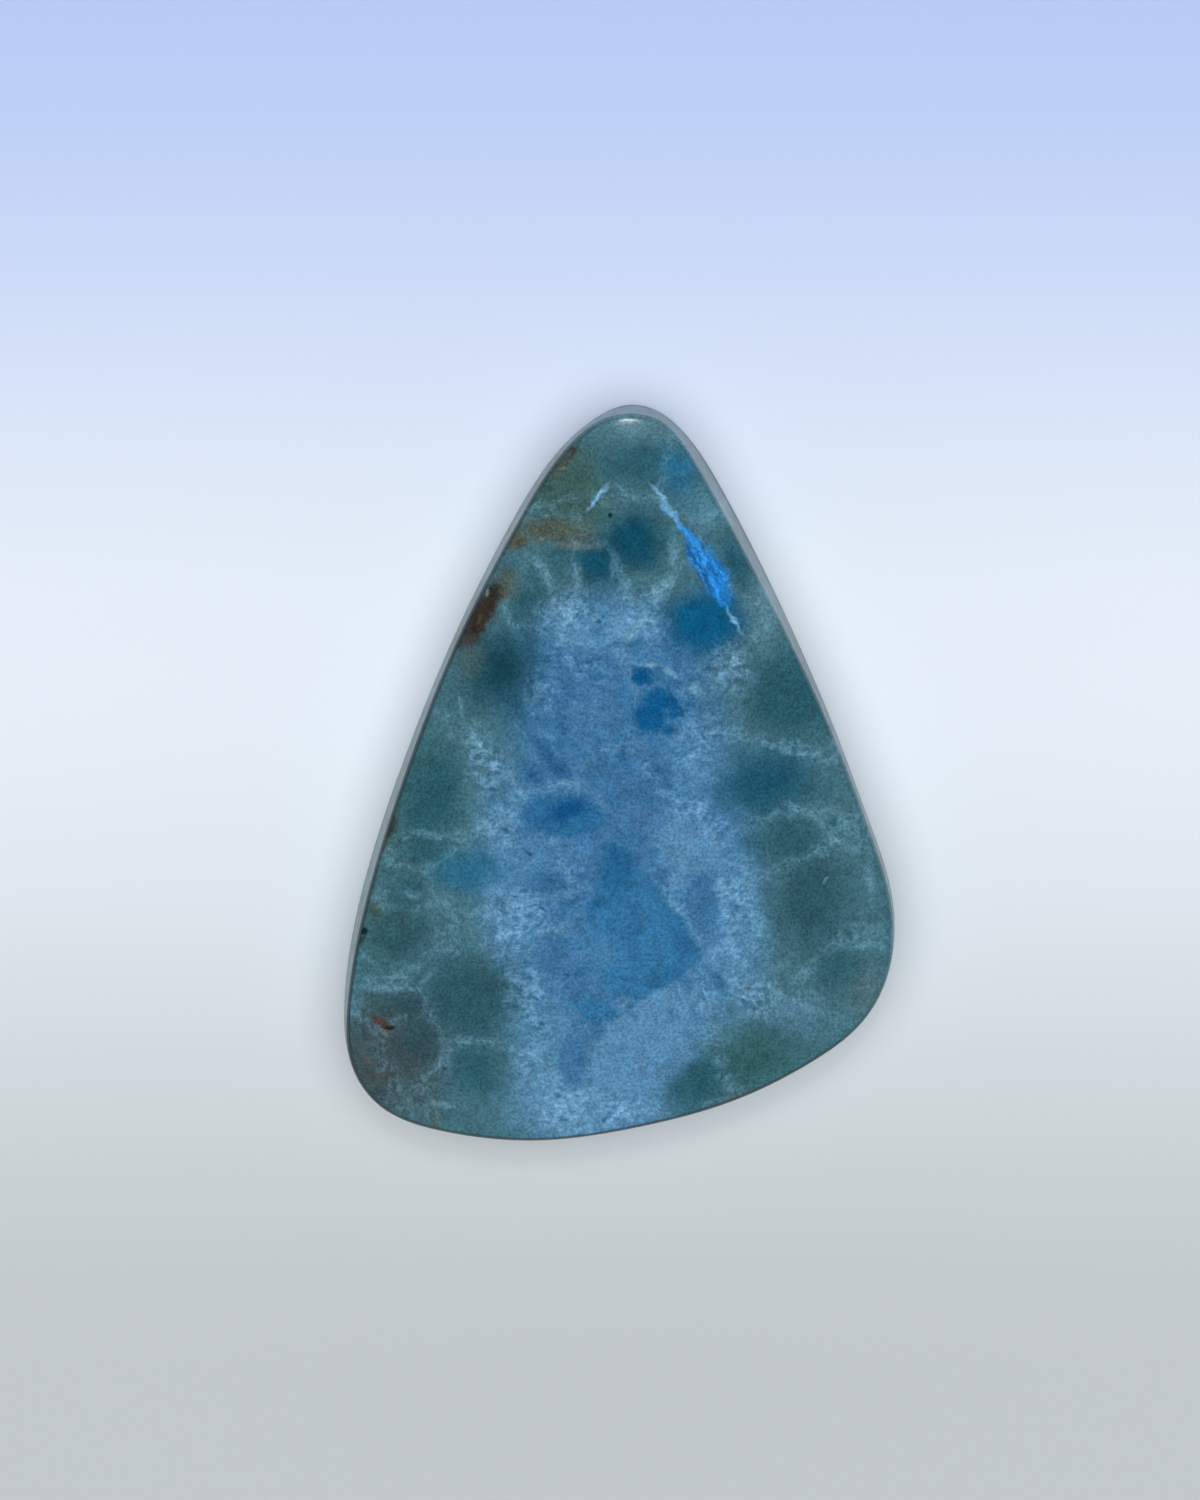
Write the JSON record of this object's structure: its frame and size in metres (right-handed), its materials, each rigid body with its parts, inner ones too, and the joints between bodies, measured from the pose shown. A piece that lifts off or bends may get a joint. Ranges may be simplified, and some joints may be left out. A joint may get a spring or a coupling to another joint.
{
  "type": "larimar cabochon",
  "caption": "Freeform teardrop cabochon of blue larimar: low polished dome, upright wall, flat back for setting, gluing or lying on a surface.",
  "frame": {"origin": "on the surface the stone lies on, under the middle of its outline", "axes": "+Y from the wide foot to the narrow tip, +Z out of the polished face, +X to the right as the face is looked at"},
  "size_m": [0.0336, 0.0444, 0.0068],
  "materials": {
    "larimar": "polished"
  },
  "bodies": {
    "root": {"larimar_cabochon": "larimar"}
  },
  "joints": []
}
